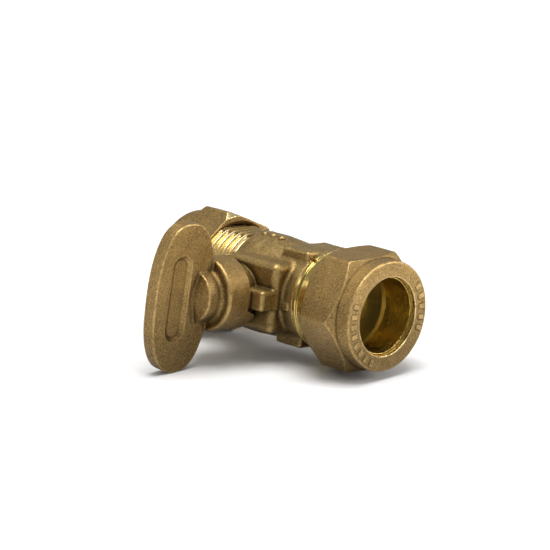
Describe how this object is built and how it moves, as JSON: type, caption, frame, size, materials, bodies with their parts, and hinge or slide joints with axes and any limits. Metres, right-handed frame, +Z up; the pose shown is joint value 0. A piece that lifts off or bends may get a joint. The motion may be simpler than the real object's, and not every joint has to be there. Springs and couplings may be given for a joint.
{
  "type": "quarter-turn isolating valve",
  "caption": "Straight brass quarter-turn isolating valve with compression ends for copper pipe and a flat oval handle.",
  "frame": {"origin": "on the bench under the middle of the whole valve's box, as it lies with the rear nut and the tip of the handle touching", "axes": "+X along the flow axis towards the front nut, +Z up, the stem points along -Y and leans 4.1 degrees up"},
  "size_m": [0.0562, 0.0482, 0.0305],
  "materials": {
    "cast_brass": "dull, granular as-cast skin with rubbed edges",
    "turned_brass": "bright turned",
    "chrome_plate": "polished plate",
    "zinc_plate": "zinc plated steel",
    "ptfe": "smooth white PTFE",
    "seal_rubber": "black seal rubber"
  },
  "bodies": {
    "valve": {"valve_body": "cast_brass", "end_connector": "turned_brass", "connector_seal": "seal_rubber", "seat_ring_front": "ptfe", "seat_ring_rear": "ptfe", "stem_thrust_washer": "ptfe"},
    "handle_and_stem": {"handle": "cast_brass", "handle_grub_screw": "zinc_plate", "stem": "turned_brass", "stem_oring_inner": "seal_rubber", "stem_oring_outer": "seal_rubber"},
    "ball": {"ball": "chrome_plate"},
    "front_olive": {"front_olive": "turned_brass"},
    "front_nut": {"front_nut": "cast_brass"},
    "rear_olive": {"rear_olive": "turned_brass"},
    "rear_nut": {"rear_nut": "cast_brass"}
  },
  "joints": [
    {"name": "handle_turn", "type": "hinge", "parent": "valve", "child": "handle_and_stem", "pos_m": [-0.00245, 0.01115, 0.01288], "axis": [0, 0.9963, -0.0854], "range_deg": [0, 85.5]},
    {"name": "ball_turn", "type": "hinge", "parent": "valve", "child": "ball", "pos_m": [-0.00245, 0.01115, 0.01288], "axis": [0, 0.9963, -0.0854], "range_deg": [0, 85.5]},
    {"name": "front_olive_slide", "type": "slide", "parent": "valve", "child": "front_olive", "axis": [1, 0, 0], "range_m": [0, 0.0075]},
    {"name": "front_nut_turn", "type": "hinge", "parent": "front_olive", "child": "front_nut", "pos_m": [0.02815, 0.01115, 0.01288], "axis": [1, 0, 0], "range_deg": [0, 1440]},
    {"name": "rear_olive_slide", "type": "slide", "parent": "valve", "child": "rear_olive", "axis": [-1, 0, 0], "range_m": [0, 0.0075]},
    {"name": "rear_nut_turn", "type": "hinge", "parent": "rear_olive", "child": "rear_nut", "pos_m": [-0.02815, 0.01115, 0.01288], "axis": [-1, 0, 0], "range_deg": [0, 1440]}
  ],
  "couplings": [
    {"joint": "ball_turn", "follows": "handle_turn", "ratio": 1},
    {"joint": "front_olive_slide", "follows": "front_nut_turn", "m_per_rad": 0.00028871},
    {"joint": "rear_olive_slide", "follows": "rear_nut_turn", "m_per_rad": 0.00028871}
  ]
}
